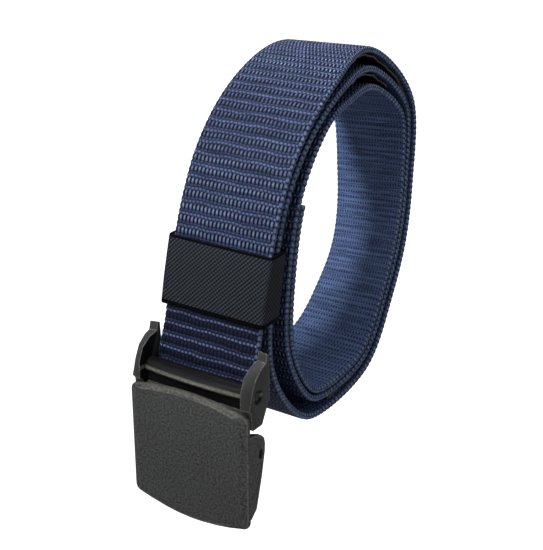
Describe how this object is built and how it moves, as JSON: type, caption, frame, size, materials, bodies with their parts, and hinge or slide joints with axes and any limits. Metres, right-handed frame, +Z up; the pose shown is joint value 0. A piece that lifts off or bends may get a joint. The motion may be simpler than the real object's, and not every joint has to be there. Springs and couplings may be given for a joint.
{
  "type": "webbing belt",
  "caption": "Coiled webbing belt with an inner pocket lining, an elastic keeper and a hinged plastic flip-lid clamp buckle, hung up by its inner turn.",
  "frame": {"origin": "the point inside the top of the innermost turn, on its inner face and halfway across the webbing, where a peg would carry the coiled belt", "axes": "+X across the webbing towards the open side that the picture shows, -Y the way the buckle's lid faces, +Z up"},
  "size_m": [0.0536, 0.1413, 0.1437],
  "materials": {
    "webbing": "coarse rib weave, matt with a slight sheen",
    "lining": "thin plain cloth, matt",
    "elastic": "diagonal twill elastic, matt",
    "plastic": "fine moulded grain",
    "pin": "dull drawn wire"
  },
  "bodies": {
    "belt": {"webbing_strap": "webbing", "pocket_lining": "lining", "elastic_keeper": "elastic", "buckle_frame": "plastic", "pivot_pin": "pin"},
    "lid": {"buckle_lid": "plastic"}
  },
  "joints": [
    {"name": "lid_hinge", "type": "hinge", "parent": "belt", "child": "lid", "pos_m": [0, -0.07551, -0.0768], "axis": [-1, 0, 0], "range_deg": [0, 95]}
  ]
}
